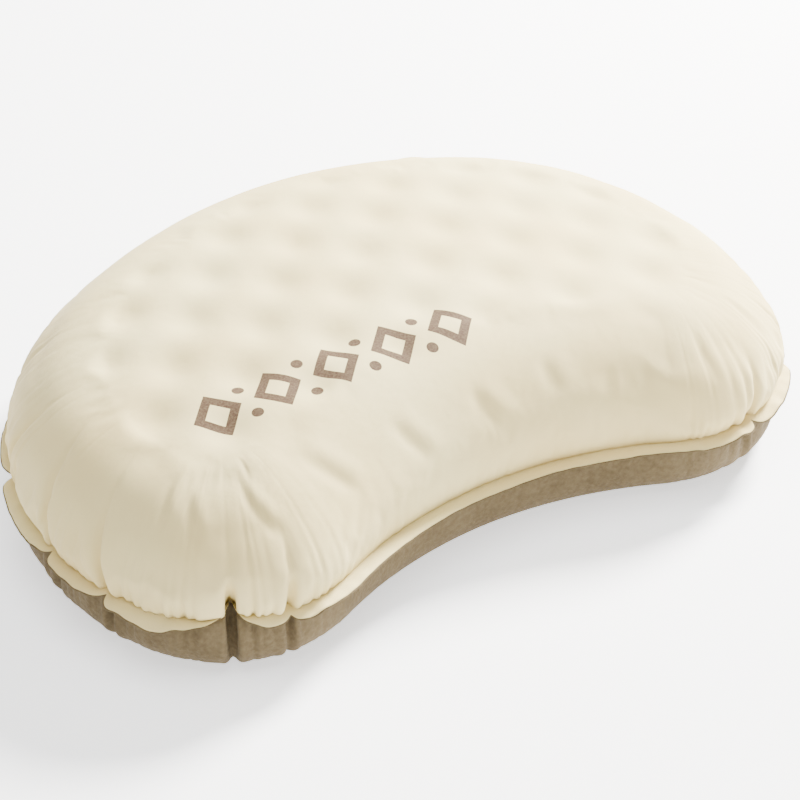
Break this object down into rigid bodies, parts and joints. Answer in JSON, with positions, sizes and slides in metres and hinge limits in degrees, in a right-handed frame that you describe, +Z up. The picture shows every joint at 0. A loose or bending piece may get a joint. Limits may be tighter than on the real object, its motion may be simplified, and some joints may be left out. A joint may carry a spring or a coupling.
{
  "type": "camp pillow",
  "caption": "Kidney-shaped self-inflating camp pillow: foam core welded between a cream top and a khaki non-slip base, with a rear flip valve.",
  "frame": {"origin": "centre of the bounding box, on the surface that the pillow rests on", "axes": "+X along the length, +Z up, -Y towards the neck recess"},
  "size_m": [0.46, 0.3139, 0.112],
  "materials": {
    "cream_fabric": "matte woven stretch fabric",
    "khaki_suede": "brushed suede-like",
    "foam": "open-cell foam",
    "valve_moulding": "satin TPU",
    "seal_rubber": "translucent silicone",
    "button_plastic": "satin",
    "spring_steel": "drawn wire"
  },
  "bodies": {
    "pillow": {"upper_panel": "cream_fabric", "lower_panel": "khaki_suede", "foam_core": "foam", "valve_flange": "valve_moulding"},
    "plug": {"valve_plug": "valve_moulding", "plug_seal": "seal_rubber", "button_spring": "spring_steel"},
    "button": {"release_button": "button_plastic", "check_flap": "seal_rubber", "flap_clip": "button_plastic"},
    "cap": {"dust_cap": "valve_moulding", "cap_seal": "seal_rubber"}
  },
  "joints": [
    {"name": "plug_flip", "type": "hinge", "parent": "pillow", "child": "plug", "pos_m": [0.11829, 0.12204, 0.06374], "axis": [0.0521, 0.129, -0.9903], "range_deg": [0, 140]},
    {"name": "cap_flip", "type": "hinge", "parent": "plug", "child": "cap", "pos_m": [0.08929, 0.13568, 0.06399], "axis": [-0.0521, -0.129, 0.9903], "range_deg": [0, 150]},
    {"name": "button_press", "type": "slide", "parent": "plug", "child": "button", "axis": [-0.371, -0.9182, -0.1392], "range_m": [0, 0.002], "stiffness_N_per_m": 300, "springref_m": -0.001, "deforming": ["button_spring"]}
  ]
}
